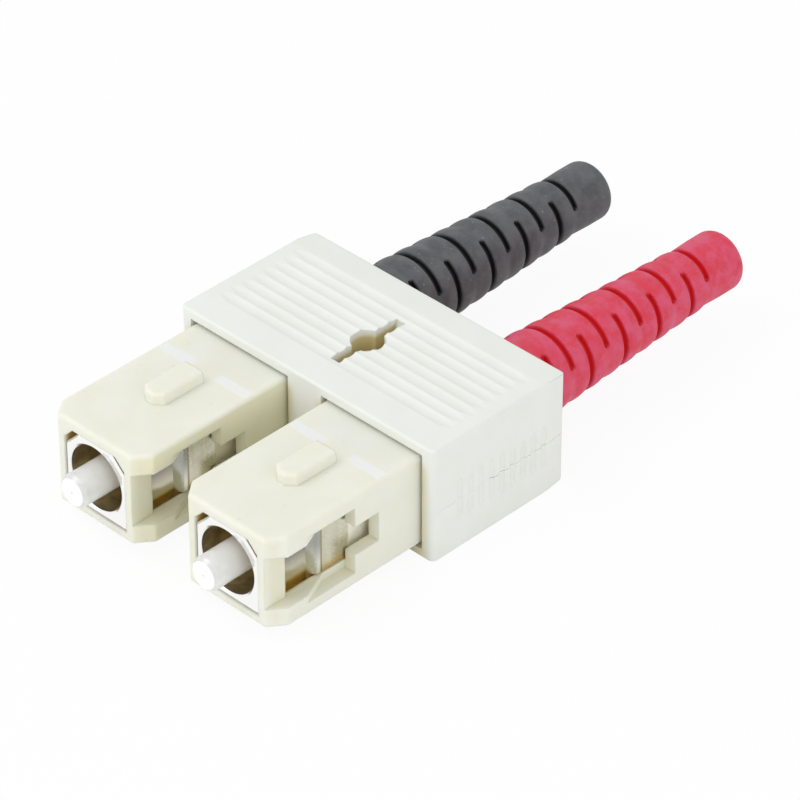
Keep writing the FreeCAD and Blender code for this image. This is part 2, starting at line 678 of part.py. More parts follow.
# Clip halves
def clip_half(label, upper):
    body = new_body(label)
    wide = clip_width / 2
    deep = d.clip_depth / 2
    axis = clip_height / 2
    face = split_height + d.split_gap if upper else split_height
    plan = sketch_on(body, "plan", "XY_Plane", face)
    bend, rear_half = deep - d.taper_length, wide - d.taper_drop
    outline(plan, [
        (-wide, -deep), (wide, -deep), (wide, bend), (rear_half, deep), (-rear_half, deep),
        (-wide, bend)])
    height = clip_height - face if upper else face
    extrude(body, "Pad", "block", plan, height, flip=not upper)
    soften(body, "Fillet", "front_corners",
           lambda edge: upright(edge) and edge.BoundBox.YMax < 0, d.corner_front, "Radius")
    soften(body, "Fillet", "rear_corners",
           lambda edge: upright(edge) and edge.BoundBox.YMin > deep.value - 0.01,
           d.corner_rear, "Radius")
    def rim(edge):
        box = edge.BoundBox
        return box.ZMin > clip_height.value - 1e-4 if upper else box.ZMax < 1e-4
    soften(body, "Fillet", "rim", rim, d.edge_top if upper else d.edge_bottom, "Radius")
    if upper:
        relief = sketch_on(body, "relief", "YZ_Plane")
        box_outline(
            relief, d.split_relief_start - deep, deep + 0.5, face - 0.5, face + d.split_relief)
        extrude(body, "Pocket", "relief_cut", relief, clip_width + 1, both=True)
        bevel = sketch_on(body, "bevel", "YZ_Plane")
        foot = deep - d.bevel_length
        low = clip_height - d.bevel_drop
        outline(bevel, [
            (foot, clip_height), (deep, low), (deep + 0.5, low), (deep + 0.5, clip_height + 0.5),
            (foot, clip_height + 0.5)])
        extrude(body, "Pocket", "bevel_cut", bevel, clip_width + 1, both=True)

    # Cavities for the housings and holes for the boots
    cavity = across(body, "cavity", -deep - 0.5)
    hole = across(body, "boot_holes", -deep)
    recess = across(body, "head_recesses", head_front - d.stroke - d.clip_front - deep)
    for name, side in SIDES:
        middle = d.pitch * side / 2
        if upper:
            low, high = face - 0.5, axis + room_top
        else:
            low, high = axis - room_top, face + 0.5
        box_outline(cavity, middle - room_side, middle + room_side, low, high)
        circle(hole, middle, axis, d.boot_hole / 2)
        circle(recess, middle, axis, d.boot_head / 2 + d.clip_slack)
    extrude(body, "Pocket", "cavity_cut", cavity, d.clip_depth + 0.5 - d.clip_rear_wall)
    extrude(body, "Pocket", "boot_hole_cut", hole)
    recess_length = d.stroke + d.boot_head_length + d.boot_head_gap
    extrude(body, "Pocket", "head_recess_cut", recess, recess_length)

    # Ribs that lock into the housings' notches
    rib_front = d.notch_start - d.clip_front - deep + d.fit_slack
    rib = across(body, "lock_ribs", rib_front)
    reach = d.housing_height / 2 - d.notch_depth + d.fit_slack
    for name, side in SIDES:
        middle = d.pitch * side / 2
        half_rib = d.notch_width / 2 - d.fit_slack
        near = axis + reach if upper else axis - room_top - 0.2
        far = axis + room_top + 0.2 if upper else axis - reach
        box_outline(rib, middle - half_rib, middle + half_rib, near, far)
    extrude(body, "Pad", "lock_rib_blocks", rib, d.notch_length - d.fit_slack * 2, flip=True)

    # Vertical serrations for the fingers, fading out above and below the parting plane
    for name, side in SIDES:
        cutter = across(body, f"{name}_serration", d.serration_first - deep)
        line = (wide + d.serration_cutter - d.serration_depth) * side
        base = line - d.serration_cutter * side
        full = d.serration_height / 2
        reach = full + d.serration_fade
        outline(cutter, [
            (line, split_height - reach), (line, split_height + reach),
            (base, split_height + full), (base, split_height - full)])
        groove = turn(body, "Groove", f"{name}_serration_cut", cutter, "Edge1")
        row_of(body, f"{name}_serrations", groove, SERRATION_COUNT, d.serration_pitch)

    if upper:
        add_top_details(body, face)
    else:
        add_latch_post(body, face)
    return body


def add_top_details(body, face):
    """Fading ribs, latch slot and socket, peg holes."""
    deep = d.clip_depth / 2
    top = clip_height
    line = top + d.rib_cutter - d.rib_depth
    cutter = across(body, "rib", d.rib_first - deep)
    half_full = d.rib_length / 2
    half_all = half_full + d.rib_fade
    outline(cutter, [
        (-half_all, line), (half_all, line), (half_full, line - d.rib_cutter),
        (-half_full, line - d.rib_cutter)])
    groove = turn(body, "Groove", "rib_cut", cutter, "Edge1")
    row_of(body, "ribs", groove, RIB_COUNT, d.rib_pitch)

    slot = sketch_on(body, "slot", "YZ_Plane")
    latch = d.latch_place - deep
    front, rear = latch - d.slot_length / 2, latch + d.slot_length / 2
    outline(slot, [
        (front, top + 0.5), (front, top - d.slot_lip), (front + d.slot_ramp, top - d.slot_depth),
        (rear - d.slot_ramp, top - d.slot_depth), (rear, top - d.slot_lip), (rear, top + 0.5)])
    extrude(body, "Pocket", "slot_cut", slot, d.slot_width, both=True)
    socket = sketch_on(body, "socket", "XY_Plane", top + 0.5)
    circle(socket, 0, latch, d.latch_hole / 2)
    extrude(body, "Pocket", "socket_cut", socket)
    holes = sketch_on(body, "peg_holes", "XY_Plane", face)
    for side in (-1, 1):
        circle(holes, 0, d.dowel_place * side, d.dowel / 2 + d.fit_slack)
    extrude(body, "Pocket", "peg_hole_cut", holes, d.dowel_height + d.fit_slack, flip=True)


def add_latch_post(body, face):
    """Post with a snap head, and two locating pegs."""
    post = across(body, "post", d.latch_place - d.clip_depth / 2)
    crown = clip_height - d.latch_sunk
    stem, head = d.latch_stem / 2, d.latch_head / 2
    root = face - 0.5
    outline(post, [
        (0, root), (stem, root), (stem, crown - 0.9), (head, crown - 0.7), (head, crown - 0.4),
        (stem - 0.25, crown), (0, crown)])
    turn(body, "Revolution", "post_turned", post, "V_Axis")
    pegs = sketch_on(body, "pegs", "XY_Plane", root)
    for side in (-1, 1):
        circle(pegs, 0, d.dowel_place * side, d.dowel / 2)
    extrude(body, "Pad", "peg_blocks", pegs, d.dowel_height + 0.5)


# All pieces
nodes = [clip_half("duplex_clip_upper", True), clip_half("duplex_clip_lower", False)]
for side_name, side_sign in SIDES:
    for make in (outer_housing, plug_frame, ferrule, ferrule_flange, fibre_tube, spring,
                 stop_body, crimp_sleeve, boot):
        piece = make(f"{side_name}_{make.__name__}")
        place_plug_part(piece, side_sign)
        nodes.append(piece)
doc.recompute()

# Check and export
for item in doc.Objects:
    if "Invalid" in item.State or "Error" in item.State:
        raise RuntimeError(f"{item.Label}: {item.State}")
os.makedirs("parts", exist_ok=True)
for node in nodes:
    shape = node.Shape
    if shape.isNull() or not shape.isValid() or len(shape.Solids) != 1:
        raise RuntimeError(f"{node.Label}: not one valid solid")
    shape.exportStep(f"parts/{node.Label}.step")
    box = shape.BoundBox
    print(f"{node.Label}: {shape.Volume:.2f} mm3, y {box.YMin:.2f} to {box.YMax:.2f}")
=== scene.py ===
# %% [markdown]
# # A duplex fibre connector, finished in Blender
# The connector is two push-pull plugs side by side in an off-white clip, with a black and a red
# strain-relief boot behind them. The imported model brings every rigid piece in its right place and
# at its right size, in metres. This lesson gives each of them its finish, winds the springs, models
# the two soft boots again as moulded rubber, and sets up the floor, the light and the camera.

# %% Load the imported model
import json
import math

import bmesh
import bpy
from mathutils import Matrix, Vector


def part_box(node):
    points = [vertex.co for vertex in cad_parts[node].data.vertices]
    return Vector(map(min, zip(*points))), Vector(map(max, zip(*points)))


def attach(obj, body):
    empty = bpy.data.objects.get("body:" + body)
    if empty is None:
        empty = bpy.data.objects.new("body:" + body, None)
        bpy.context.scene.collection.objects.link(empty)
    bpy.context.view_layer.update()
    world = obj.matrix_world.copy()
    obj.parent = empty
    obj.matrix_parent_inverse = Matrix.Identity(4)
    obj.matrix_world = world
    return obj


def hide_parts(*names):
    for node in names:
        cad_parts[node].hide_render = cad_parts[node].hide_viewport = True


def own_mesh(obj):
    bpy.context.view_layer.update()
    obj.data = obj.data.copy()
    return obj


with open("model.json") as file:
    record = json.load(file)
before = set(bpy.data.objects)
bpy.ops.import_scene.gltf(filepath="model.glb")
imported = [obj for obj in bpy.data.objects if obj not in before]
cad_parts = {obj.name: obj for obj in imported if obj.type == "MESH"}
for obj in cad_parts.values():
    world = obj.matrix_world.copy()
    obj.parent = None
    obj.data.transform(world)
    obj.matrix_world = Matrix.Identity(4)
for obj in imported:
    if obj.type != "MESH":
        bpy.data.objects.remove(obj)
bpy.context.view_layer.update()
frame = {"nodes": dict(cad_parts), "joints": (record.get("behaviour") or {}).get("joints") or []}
nodes = frame["nodes"]
MM = 0.001
print("pieces in the packed model:", len(nodes))

# %% [markdown]
# ## Measures that the finishes share
# Paint marks, mould lines and the boots all hang on a few places: the two plug axes, the front of
# the housings and the clip. They could be typed in, but then they would drift from the model when
# it changes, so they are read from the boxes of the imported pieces.

# %% Places read from the frame
housing_low, housing_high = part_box("right_outer_housing")
boot_low, boot_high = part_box("right_boot")
clip_low, clip_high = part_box("duplex_clip_upper")
ferrule_low, ferrule_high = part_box("right_ferrule")
axis_x = (ferrule_low.x + ferrule_high.x) / 2
axis_z = (ferrule_low.z + ferrule_high.z) / 2
front_y = housing_low.y
clip_rear_y = clip_high.y
SIDES = (("left", -1), ("right", 1))
print("plug axes at x = ±%.2f mm, z = %.2f mm" % (axis_x / MM, axis_z / MM))

# %% [markdown]
# ## A small language for shader maths
# A finish is a formula: where the paint lies, how dark a speck is, how deep the grain goes. Drawn
# as nodes by hand, a formula turns into a page of wiring. Here a socket is wrapped in a class whose
# operators add the Math nodes, so `1 - mask` or `abs(x) - 2.5` can be written as it is thought.
# Everything else goes through one method that makes any node from its settings and inputs.


# %% Sockets with operators
class Flow:
    """An output of a node. Arithmetic on it adds Math nodes to the same finish."""

    def __init__(self, finish, socket):
        self.finish = finish
        self.socket = socket

    def math(self, operation, first, second=0.0):
        return self.finish.node("ShaderNodeMath", {"operation": operation}, {0: first, 1: second})

    def __add__(self, other):
        return self.math("ADD", self, other)

    def __sub__(self, other):
        return self.math("SUBTRACT", self, other)

    def __rsub__(self, other):
        return self.math("SUBTRACT", other, self)

    def __mul__(self, other):
        return self.math("MULTIPLY", self, other)

    def __pow__(self, other):
        return self.math("POWER", self, other)

    def __abs__(self):
        return self.math("ABSOLUTE", self)

    def at_least(self, other):
        return self.math("MAXIMUM", self, other)

    def at_most(self, other):
        return self.math("MINIMUM", self, other)

    def rise(self, low, high):
        """0 below low, 1 above high and a soft step between; low may be the greater one."""
        return self.finish.node(
            "ShaderNodeMapRange", {"interpolation_type": "SMOOTHSTEP"},
            {"Value": self, "From Min": low, "From Max": high})

    __radd__ = __add__
    __rmul__ = __mul__


# %% Wiring that makes any node
class Wiring:
    """A node tree, and the one method that makes nodes in it."""

    def __init__(self, tree):
        self.tree = tree

    def node(self, kind, settings, inputs, output=0):
        item = self.tree.nodes.new(kind)
        for key, value in settings.items():
            setattr(item, key, value)
        for key, value in inputs.items():
            self.feed(item.inputs[key], value)
        return Flow(self, item.outputs[output])

    def feed(self, socket, value):
        if isinstance(value, Flow):
            self.tree.links.new(value.socket, socket)
        elif isinstance(value, tuple) and socket.type == "RGBA":
            socket.default_value = (*value, 1.0)
        else:
            socket.default_value = value


# %% [markdown]
# ## What finishes are made of
# Moulded, plated and ground surfaces differ in colour and shine, but what breaks them up is much
# the same: clouds, grain, specks, lines drawn out one way and edges that are never quite sharp.
# Each of those could be wired anew in every material. A class with a method for each keeps the
# recipes short. It works on Object coordinates, in millimetres, so a size in a recipe is real.

# %% A finish and its methods
MOTTLE = (0.3, 0.7)
SPECK_EDGE, SPECK_CHOICE = (0.32, 0.18), 0.01
EDGE_SAMPLES = 6


class Finish(Wiring):
    """A material with one main shader, and methods for what finishes are made of."""

    def __init__(self, name):
        self.material = bpy.data.materials.new(name)
        self.material.use_nodes = True
        super().__init__(self.material.node_tree)
        self.shader = self.tree.nodes["Principled BSDF"]
        self.spot = self.node("ShaderNodeTexCoord", {}, {}, "Object")
        millimetres = self.node(
            "ShaderNodeVectorMath", {"operation": "SCALE"}, {"Vector": self.spot, "Scale": 1 / MM})
        parts = self.node("ShaderNodeSeparateXYZ", {}, {0: millimetres})
        self.x = parts
        self.y = Flow(self, parts.socket.node.outputs[1])
        self.z = Flow(self, parts.socket.node.outputs[2])

    def set(self, **sockets):
        """Sockets of the main shader by name, with _ for a space."""
        for key, value in sockets.items():
            self.feed(self.shader.inputs[key.replace("_", " ")], value)
        return self

    def noise(self, size_mm, detail=2.0, rough=0.5, where=None):
        """Soft noise whose features are about size_mm across, from 0 to 1."""
        return self.node(
            "ShaderNodeTexNoise", {},
            {"Vector": where or self.spot, "Scale": 1 / (size_mm * MM), "Detail": detail,
             "Roughness": rough})

    def specks(self, size_mm, share):
        """Small round specks in about a share of cells of size_mm: 1 in a speck, 0 outside."""
        cells = self.node(
            "ShaderNodeTexVoronoi", {"feature": "F1"},
            {"Vector": self.spot, "Scale": 1 / (size_mm * MM)})
        chance = self.node(
            "ShaderNodeSeparateColor", {}, {0: Flow(self, cells.socket.node.outputs["Color"])})
        chosen = chance.rise(1 - share, 1 - share + SPECK_CHOICE)
        return cells.rise(*SPECK_EDGE) * chosen

    def stretched(self, x=1.0, y=1.0, z=1.0):
        """Object coordinates squeezed or drawn out along an axis."""
        return self.node("ShaderNodeMapping", {}, {"Vector": self.spot, "Scale": (x, y, z)})

    def blend(self, share, first, second):
        """The first colour where share is 0, the second where it is 1."""
        return self.node(
            "ShaderNodeMix", {"data_type": "RGBA"}, {0: share, 6: first, 7: second}, 2)

    def rounded_edges(self, radius_mm):
        """A normal that bends round the edges of the mesh."""
        return self.node("ShaderNodeBevel", {"samples": EDGE_SAMPLES}, {"Radius": radius_mm * MM})

    def relief(self, height, depth_mm, strength, normal=None):
        """A normal bumped by a height from 0 to 1 that is depth_mm deep."""
        inputs = {"Strength": strength, "Distance": depth_mm * MM, "Height": height}
        if normal is not None:
            inputs["Normal"] = normal
        return self.node("ShaderNodeBump", {}, inputs)

    def patch(self, u, v, half_u, half_v, corner):
        """Signed distance in mm to a rectangle with round corners: below 0 inside it."""
        over_u = (abs(u) - (half_u - corner)).at_least(0.0)
        over_v = (abs(v) - (half_v - corner)).at_least(0.0)
        return (over_u * over_u + over_v * over_v) ** 0.5 - corner


# %% Colours as seen on screen, and who wears what
def linear(red, green, blue):
    """A colour given as seen on screen, 0 to 255, as the shader's linear light."""
    def channel(value):
        value = value / 255
        return value / 12.92 if value <= 0.04045 else ((value + 0.055) / 1.055) ** 2.4
    return (channel(red), channel(green), channel(blue))


def wear(finish, *names):
    """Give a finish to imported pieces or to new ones."""
    for name in names:
        piece = bpy.data.objects[name]
        piece.data.materials.clear()
        piece.data.materials.append(finish.material)
    print(f"{finish.material.name}: on {', '.join(names)}")


def as_object(shape, name):
    """A finished bmesh as an object in the scene, at the origin."""
    mesh = bpy.data.meshes.new(name)
    shape.to_mesh(mesh)
    shape.free()
    piece = bpy.data.objects.new(name, mesh)
    bpy.context.scene.collection.objects.link(piece)
    return piece


# %% [markdown]
# ## The cream housings: print and mould line
# The two housings are moulded in a cream plastic. Two white marks are printed on top of each,
# beside the rear of the key: they show how far the plug has to go in. A faint line runs from the
# key to the rear where the mould parts. The marks could be thin pieces of their own, but ink has no
# thickness to speak of, so they are a mask in the finish: a rounded rectangle on each side of the
# key, with a slightly ragged edge and thin spots. The distances are millimetres behind the
# housing's front.

# %% Masks of the printed marks
MARK_MIDDLE, MARK_HALF = 2.72, 1.5
MARK_Y, MARK_HALF_Y, MARK_CORNER = 10.29, 0.43, 0.12
MARK_SOFT, MARK_RAGGED, MARK_THIN = 0.03, 0.07, (0.2, 0.42)
LINE_WIDTH, LINE_START, LINE_END = 0.05, (9.4, 9.6), (12.2, 11.0)
UNDER_KEY, UNDER_SOFT = 1.1, 0.1

cream = Finish("cream_plastic")
from_axis = abs(abs(cream.x) - axis_x / MM)
along = cream.y - front_y / MM
top_face = housing_high.z / MM - UNDER_KEY
on_top = cream.z.rise(top_face, top_face + UNDER_SOFT)
mark_edge = cream.patch(
    from_axis - MARK_MIDDLE, along - MARK_Y, MARK_HALF, MARK_HALF_Y, MARK_CORNER)
ragged = (cream.noise(0.16) - 0.5) * MARK_RAGGED
covering = cream.noise(0.35).rise(*MARK_THIN)
ink = (mark_edge + ragged).rise(MARK_SOFT, -MARK_SOFT) * on_top * covering
mould_line = from_axis.rise(LINE_WIDTH, 0.0) * along.rise(*LINE_START) * along.rise(*LINE_END)
print("marks: %.2f mm behind the front, %.1f mm long" % (MARK_Y, 2 * MARK_HALF))

# %% [markdown]
# ## The cream plastic itself
# The plastic has a fine spark-eroded grain, a hint of mottling from the melt, and slightly rounded
# edges that catch the light. Inside the mouth and the windows, and where the two plugs face each
# other, light has bounced from cream to cream and turns golden. Rays alone would need many bounces
# to show that much of it, so a tint helps them, and it goes by the depth below the housing's skin.

# %% Cream plastic
CREAM, CREAM_WARM = linear(234, 235, 223), linear(232, 232, 217)
CREAM_DEEP = linear(236, 204, 124)
CREAM_FACING = linear(236, 234, 208)
CREAM_RECESS = linear(226, 222, 194)
INK = linear(235, 236, 235)
DUST = linear(170, 160, 135)
RECESS_DEPTH, RECESS_SHARE = (0.15, 0.9), 0.6
INNER_DEPTH, MOUTH_DEPTH = (1.05, 1.5), (0.1, 0.5)
FACING_FADE, TOP_FADE = 2.0, (0.05, 0.4)

half_width = (housing_high.x - housing_low.x) / 2 / MM
half_height = axis_z / MM - housing_low.z / MM
below_side = half_width - from_axis
below_top = half_height - abs(cream.z - axis_z / MM)
below_both = below_side.at_most(below_top)
inner = below_both.rise(*INNER_DEPTH) * along.rise(*MOUTH_DEPTH)
in_recess = below_both.at_most(along).rise(*RECESS_DEPTH)
near_side = axis_x / MM - half_width
facing = abs(cream.x).rise(near_side + FACING_FADE, near_side) * below_top.rise(*TOP_FADE)
melt = cream.noise(2.6, detail=3.0)
grain = cream.noise(0.09, rough=0.6)
shade = cream.blend(melt.rise(*MOTTLE), CREAM, CREAM_WARM)
shade = cream.blend(facing, shade, CREAM_FACING)
shade = cream.blend(in_recess * RECESS_SHARE, shade, CREAM_RECESS)
shade = cream.blend(inner, shade, CREAM_DEEP)
shade = cream.blend(cream.specks(0.55, share=0.05) * 0.08, shade, DUST)
height = grain * 0.5 + mould_line * 0.6 + ink * 0.3
cream.set(
    Base_Color=cream.blend(ink, shade, INK),
    Roughness=0.42 + grain * 0.16 - ink * 0.08,
    Normal=cream.relief(height, depth_mm=0.012, strength=0.6, normal=cream.rounded_edges(0.2)),
    IOR=1.5, Specular_IOR_Level=0.4, Subsurface_Weight=0.25, Subsurface_Scale=0.0008,
    Subsurface_Radius=(1.0, 0.85, 0.4))
wear(cream, "left_outer_housing", "right_outer_housing")

# %% [markdown]
# ## The off-white clip
# The clip is a harder, whiter plastic with the faintest green in it, and a satin skin. It is made
# in two halves that show the same finish. The grooves are in the model, so the finish only adds the
# grain, and a soft unevenness along the ribs where the tool was polished. The inside, seen down the
# latch slot, and the front face in the gaps round the plugs get a warm painted shade by depth, like
# the tint in the housings. The faces in the gap between the halves are painted pale, painted light
# against the gap's shade, so that the thin gap doesn't turn black.

# %% Off-white satin plastic
CLIP_WHITE, CLIP_SHADE = linear(234, 236, 231), linear(231, 233, 227)
CLIP_PAINTED_SHADE = linear(214, 201, 154)
CLIP_SEAM_LIGHT = linear(243, 246, 233)
SEAM_HALF, SEAM_START = (0.09, 0.03), (-1.2, 0.4)
SEAM_EDGE, CLIP_EDGE = (0.05, 0.3), 0.14
INSIDE_DEPTH, FRONT_DEPTH, ROOF_DEPTH = (0.35, 0.8), (0.3, 0.1), (0.9, 2.0)
GAP_REACH, GAP_SHARE = 1.1, 0.8

satin = Finish("satin_clip")
from_seam = abs(satin.z - clip_low.z / MM)
from_front = satin.y - clip_low.y / MM
from_roof = clip_high.z / MM - satin.z
below_skin = (clip_high.x / MM - abs(satin.x)).at_most(from_roof).at_most(from_front)
below_skin = below_skin.at_most(clip_high.y / MM - satin.y).at_most(satin.z)
# Warm painted shade by depth below the skin, and on the front face beside each plug.
shade_beside_plug = (abs(abs(satin.x) - axis_x / MM) - half_width).rise(GAP_REACH, 0.0)
shade_beside_plug = shade_beside_plug * from_front.rise(*FRONT_DEPTH) * from_roof.rise(*ROOF_DEPTH)
inside_shade = below_skin.rise(*INSIDE_DEPTH).at_least(shade_beside_plug * GAP_SHARE)
# Painted light: the faces in the gap between the halves are painted pale against the gap's shade.
seam = from_seam.rise(*SEAM_HALF) * satin.y.rise(*SEAM_START)
edge_radius = from_seam.rise(*SEAM_EDGE) * CLIP_EDGE
cloud = satin.noise(3.4, detail=3.0)
tooling = satin.noise(0.5, where=satin.stretched(x=0.12))
pits = satin.noise(0.07, rough=0.6)
clip_tone = satin.blend(cloud.rise(*MOTTLE), CLIP_WHITE, CLIP_SHADE)
clip_tone = satin.blend(inside_shade, clip_tone, CLIP_PAINTED_SHADE)
satin.set(
    Base_Color=satin.blend(seam, clip_tone, CLIP_SEAM_LIGHT),
    Roughness=0.38 + tooling * 0.12 + pits * 0.08,
    Normal=satin.relief(
        pits * 0.6 + tooling * 0.5, depth_mm=0.008, strength=0.6,
        normal=satin.rounded_edges(edge_radius)),
    IOR=1.5, Specular_IOR_Level=0.45)
wear(satin, "duplex_clip_upper", "duplex_clip_lower")

# %% [markdown]
# ## Plated metal of the plug frames: where it differs
# The frame inside each housing is die-cast metal with a nickel skin. It shows at the mouth round
# the ferrule and through the side windows, and each place is coloured on its own: the front face is
# polished, the rail in front of the land and the land's ramp are darker at the top and paler low
# down, the crease where the ramp meets the land has a painted shadow, the metal behind the land is
# painted pale, painted light where the housing shades it, and low down lies a painted golden
# reflection of the cream housing. One finish with a mask for each place is easier to keep than a
# material for each face, and it needs no marks on the imported mesh.

# %% Masks on a plug frame, in millimetres behind the housing's front
FACE = (0.5, 0.1)
RAIL_START, RAIL_END = (1.2, 1.8), (4.6, 4.4)
RAMP_START, RAMP_END = (4.4, 4.5), (5.3, 5.22)
CREASE_START, CREASE_END = (5.22, 5.3), (5.45, 5.36)
LAND_REAR, LAND_SIDE = (7.7, 8.0), (3.2, 3.35)
BORE_SQUARED = (6.9, 6.5)
LOW_DOWN, RAIL_REFLECTION_HEIGHTS, REFLECTION_HEIGHTS = (0.8, -1.4), (-1.0, -2.1), (-1.0, -2.0)

nickel = Finish("nickel_plating")
behind_front = nickel.y - front_y / MM
from_side = abs(abs(nickel.x) - axis_x / MM)
from_height = nickel.z - axis_z / MM
polished = behind_front.rise(*FACE)
in_bore = (from_side * from_side + from_height * from_height).rise(*BORE_SQUARED)
on_rail = behind_front.rise(*RAIL_START) * behind_front.rise(*RAIL_END)
on_ramp = behind_front.rise(*RAMP_START) * behind_front.rise(*RAMP_END)
on_land = from_side.rise(*LAND_SIDE)
# Painted shadow in the crease where the ramp meets the land.
crease_shadow = behind_front.rise(*CREASE_START) * behind_front.rise(*CREASE_END) * on_land
# Behind the land the metal is rough and painted pale: painted light where the housing shades it.
behind_land = behind_front.rise(*LAND_REAR)
low_down = from_height.rise(*LOW_DOWN)
# Painted golden reflection of the cream housing, low down and in patches.
golden_reflection = from_height.rise(*REFLECTION_HEIGHTS) * nickel.noise(0.5, detail=3.0, rough=0.6).rise(0.2, 0.5)
print("land of a plug frame: to %.2f mm behind the front" % LAND_REAR[0])

# %% [markdown]
# ## The nickel skin
# Nickel is grey with a warm cast, cloudy and finely speckled, with light scratches along the way
# the plug slides. A metal needs something to reflect, and here that is the white surroundings and
# the cream walls, so only colour and roughness are varied.

# %% Nickel skin
NICKEL, NICKEL_SPECK = linear(213, 212, 194), linear(197, 194, 170)
NICKEL_STREAK, NICKEL_CLOUD = linear(188, 180, 156), linear(200, 196, 172)
NICKEL_FACE, REAR_PAINTED_LIGHT = linear(248, 248, 246), linear(254, 252, 244)
REFLECTION_GOLD, CREASE = linear(204, 170, 88), linear(120, 104, 66)
RAIL_HIGH, RAIL_LOW = linear(130, 128, 119), linear(206, 200, 178)
RAIL_REFLECTION_GOLD = linear(232, 212, 152)
RAMP_HIGH, RAMP_LOW = linear(162, 163, 155), linear(218, 218, 206)
BORE_DARK, BORE_PALE = linear(204, 188, 150), linear(236, 222, 184)

cloudy = nickel.noise(0.9, detail=4.0, rough=0.6)
speckle = nickel.noise(0.08, detail=3.0, rough=0.7)
streak = nickel.noise(0.3, detail=3.0, rough=0.6, where=nickel.stretched(z=0.1))
scratch = nickel.noise(0.06, rough=0.6, where=nickel.stretched(y=0.05))
tone = nickel.blend(speckle.rise(0.4, 0.68), NICKEL, NICKEL_SPECK)
tone = nickel.blend(streak.rise(0.4, 0.66) * 0.35, tone, NICKEL_STREAK)
tone = nickel.blend(cloudy.rise(0.35, 0.75) * 0.6, tone, NICKEL_CLOUD)
# Painted golden reflection low down, in patches.
tone = nickel.blend(golden_reflection * 0.85, tone, REFLECTION_GOLD)
# The rail, in patches, and the ramp are darker at the top and paler low down.
rail = nickel.blend(low_down, RAIL_HIGH, RAIL_LOW)
# Painted golden reflection at the rail's bottom edge.
rail = nickel.blend(from_height.rise(*RAIL_REFLECTION_HEIGHTS), rail, RAIL_REFLECTION_GOLD)
tone = nickel.blend(on_rail * cloudy.rise(0.1, 0.4), tone, rail)
tone = nickel.blend(on_ramp, tone, nickel.blend(low_down, RAMP_HIGH, RAMP_LOW))
# Painted shadow in the crease.
tone = nickel.blend(crease_shadow * 0.7, tone, CREASE)
# Painted light on the metal behind the land.
tone = nickel.blend(behind_land, tone, REAR_PAINTED_LIGHT)
bore = nickel.blend(cloudy.rise(0.35, 0.65), BORE_DARK, BORE_PALE)
tone = nickel.blend(in_bore, tone, bore)
dull = 0.12 + on_land * 0.12 + behind_land * 0.5 + in_bore * 0.24
dull = dull + cloudy * 0.06 + speckle.rise(0.45, 0.7) * 0.05
nickel.set(
    Base_Color=nickel.blend(polished, tone, NICKEL_FACE),
    Metallic=1.0,
    Roughness=dull * (1 - polished * 0.4),
    Normal=nickel.relief(
        scratch * 0.5 + speckle * 0.25, depth_mm=0.003, strength=0.5,
        normal=nickel.rounded_edges(0.03)))
wear(nickel, "left_plug_frame", "right_plug_frame")

# %% [markdown]
# ## Ceramic ferrules
# The ferrule is zirconia, ground to 2.5 mm: dense, white and smooth. Its end is polished and
# flashes white, while the chamfer and the ground side get a painted shade that fades out towards
# the frame, with faint clouds. The hole for the fibre in the middle of the end is an eighth of a
# millimetre across and filled by the fibre, so it is a pale dot in the finish rather than a hole in
# the mesh.

# %% Zirconia with the fibre hole
FIBRE_RADIUS, FIBRE_SOFT = 0.0625, 0.015
TIP_FACE, CHAMFER_END, NEAR_FRAME = (0.06, 0.02), (0.3, 0.4), (0.8, 3.4)
TIP_WHITE, CHAMFER_SHADE = linear(252, 252, 251), linear(216, 217, 215)
SIDE_SHADE, SIDE_WHITE = linear(228, 229, 226), linear(253, 252, 248)
CERAMIC_CLOUD, FIBRE_GREY = linear(244, 245, 243), linear(206, 208, 209)

zirconia = Finish("zirconia")
off_axis = abs(zirconia.x) - axis_x / MM
off_height = zirconia.z - axis_z / MM
reach = (off_axis * off_axis + off_height * off_height) ** 0.5
behind_tip = zirconia.y - ferrule_low.y / MM
tip = behind_tip.rise(*TIP_FACE)
fibre = reach.rise(FIBRE_RADIUS + FIBRE_SOFT, FIBRE_RADIUS - FIBRE_SOFT) * tip
fog = zirconia.noise(0.7, detail=3.0)
grinding = zirconia.noise(0.05, rough=0.6, where=zirconia.stretched(y=12.0))
# Painted shade on the chamfer and the side, fading out towards the frame.
ground = zirconia.blend(behind_tip.rise(*CHAMFER_END), CHAMFER_SHADE, SIDE_SHADE)
ground = zirconia.blend(behind_tip.rise(*NEAR_FRAME), ground, SIDE_WHITE)
ground = zirconia.blend(fog.rise(0.4, 0.7) * 0.35, ground, CERAMIC_CLOUD)
ground = zirconia.blend(tip, ground, TIP_WHITE)
zirconia.set(
    Base_Color=zirconia.blend(fibre, ground, FIBRE_GREY),
    Roughness=0.16 + grinding * 0.1,
    Normal=zirconia.relief(
        grinding, depth_mm=0.003, strength=0.4, normal=zirconia.rounded_edges(0.05)),
    IOR=2.0, Specular_IOR_Level=0.35, Subsurface_Weight=0.08, Subsurface_Scale=0.0006)
wear(zirconia, "left_ferrule", "right_ferrule")

# %% [markdown]
# ## Wound springs
# A wire spring behind each flange presses the ferrule forward, and shortens by a millimetre when
# two plugs meet end to end. The imported spring is stiff and has a six-sided wire, so the flange
# would cut into it. Here a round wire is spun about the plug axis with a step along it: half a turn
# flat at each end, where it seats, and open turns between. It is hung on the plug at full length.

# %% Wire spun into a spring
WIRE_RADIUS, WIRE_SIDES = 0.19, 12
FLAT_TURNS, OPEN_TURNS, STEPS_IN_TURN = 0.5, 3, 48
spring_low, spring_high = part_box("right_spring")
coil_radius = (spring_high.x - spring_low.x) / 2 - WIRE_RADIUS * MM
spring_length = spring_high.y - spring_low.y
climb = (spring_length - 2 * WIRE_RADIUS * MM) / (OPEN_TURNS * STEPS_IN_TURN)


